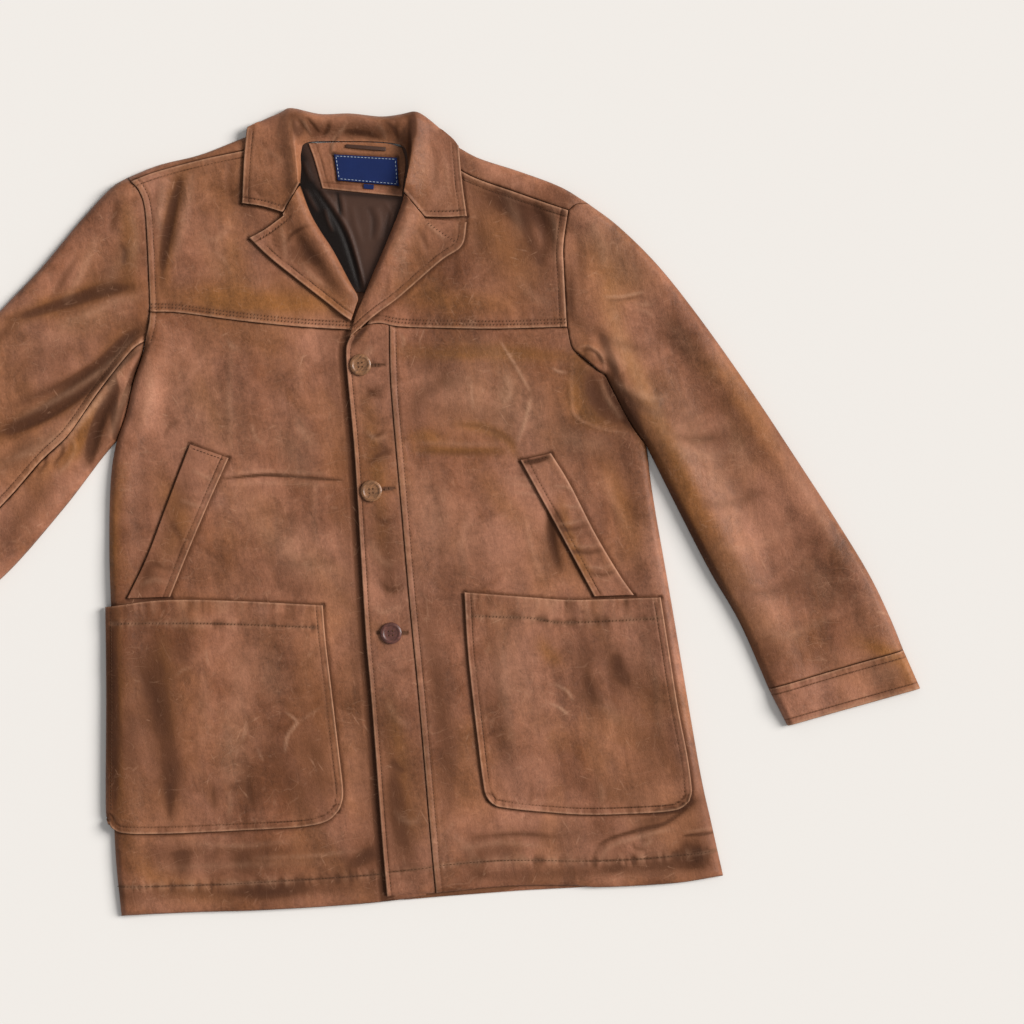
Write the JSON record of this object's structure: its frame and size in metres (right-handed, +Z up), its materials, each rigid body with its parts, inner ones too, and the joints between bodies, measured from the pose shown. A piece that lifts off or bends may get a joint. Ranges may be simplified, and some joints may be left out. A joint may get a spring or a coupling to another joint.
{
  "type": "worn leather coat",
  "caption": "Worn brown leather car coat laid flat, with notched collar, yokes, slanted pockets and patch pockets, fastened with buttons.",
  "frame": {"origin": "on the surface that the coat lies on, below the middle of its outline", "axes": "+X toward the wearer's left sleeve, +Y toward the collar, +Z up out of the front of the coat"},
  "size_m": [1.2558, 0.8494, 0.0183],
  "materials": {
    "leather": "worn pull-up leather, tan where it is rubbed and bent, dark in its creases, satin sheen",
    "leather_trim": "the same leather in two layers, paler along its edges",
    "satin": "dark brown satin lining",
    "label": "blank woven label with a pale border line",
    "button": "horn-like brown, semi-gloss"
  },
  "bodies": {
    "root": {"back": "leather", "back_yoke_left": "leather", "back_yoke_right": "leather", "button_1": "button", "button_2": "button", "button_3": "button", "collar": "leather_trim", "collar_fall": "leather", "cuff_left_top": "leather_trim", "cuff_left_under": "leather", "cuff_right_top": "leather_trim", "cuff_right_under": "leather", "front_left": "leather", "front_right": "leather", "hanger_loop": "satin", "label": "label", "lapel_left": "leather_trim", "lapel_right": "leather_trim", "lining": "satin", "neck_facing": "leather_trim", "placket_left": "leather_trim", "pocket_left": "leather_trim", "pocket_right": "leather_trim", "size_tab": "label", "sleeve_left_top": "leather", "sleeve_left_under": "leather", "sleeve_right_hind": "leather", "sleeve_right_top": "leather", "sleeve_right_under": "leather", "welt_left": "leather_trim", "welt_right": "leather_trim", "yoke_left": "leather", "yoke_right": "leather"}
  },
  "joints": []
}
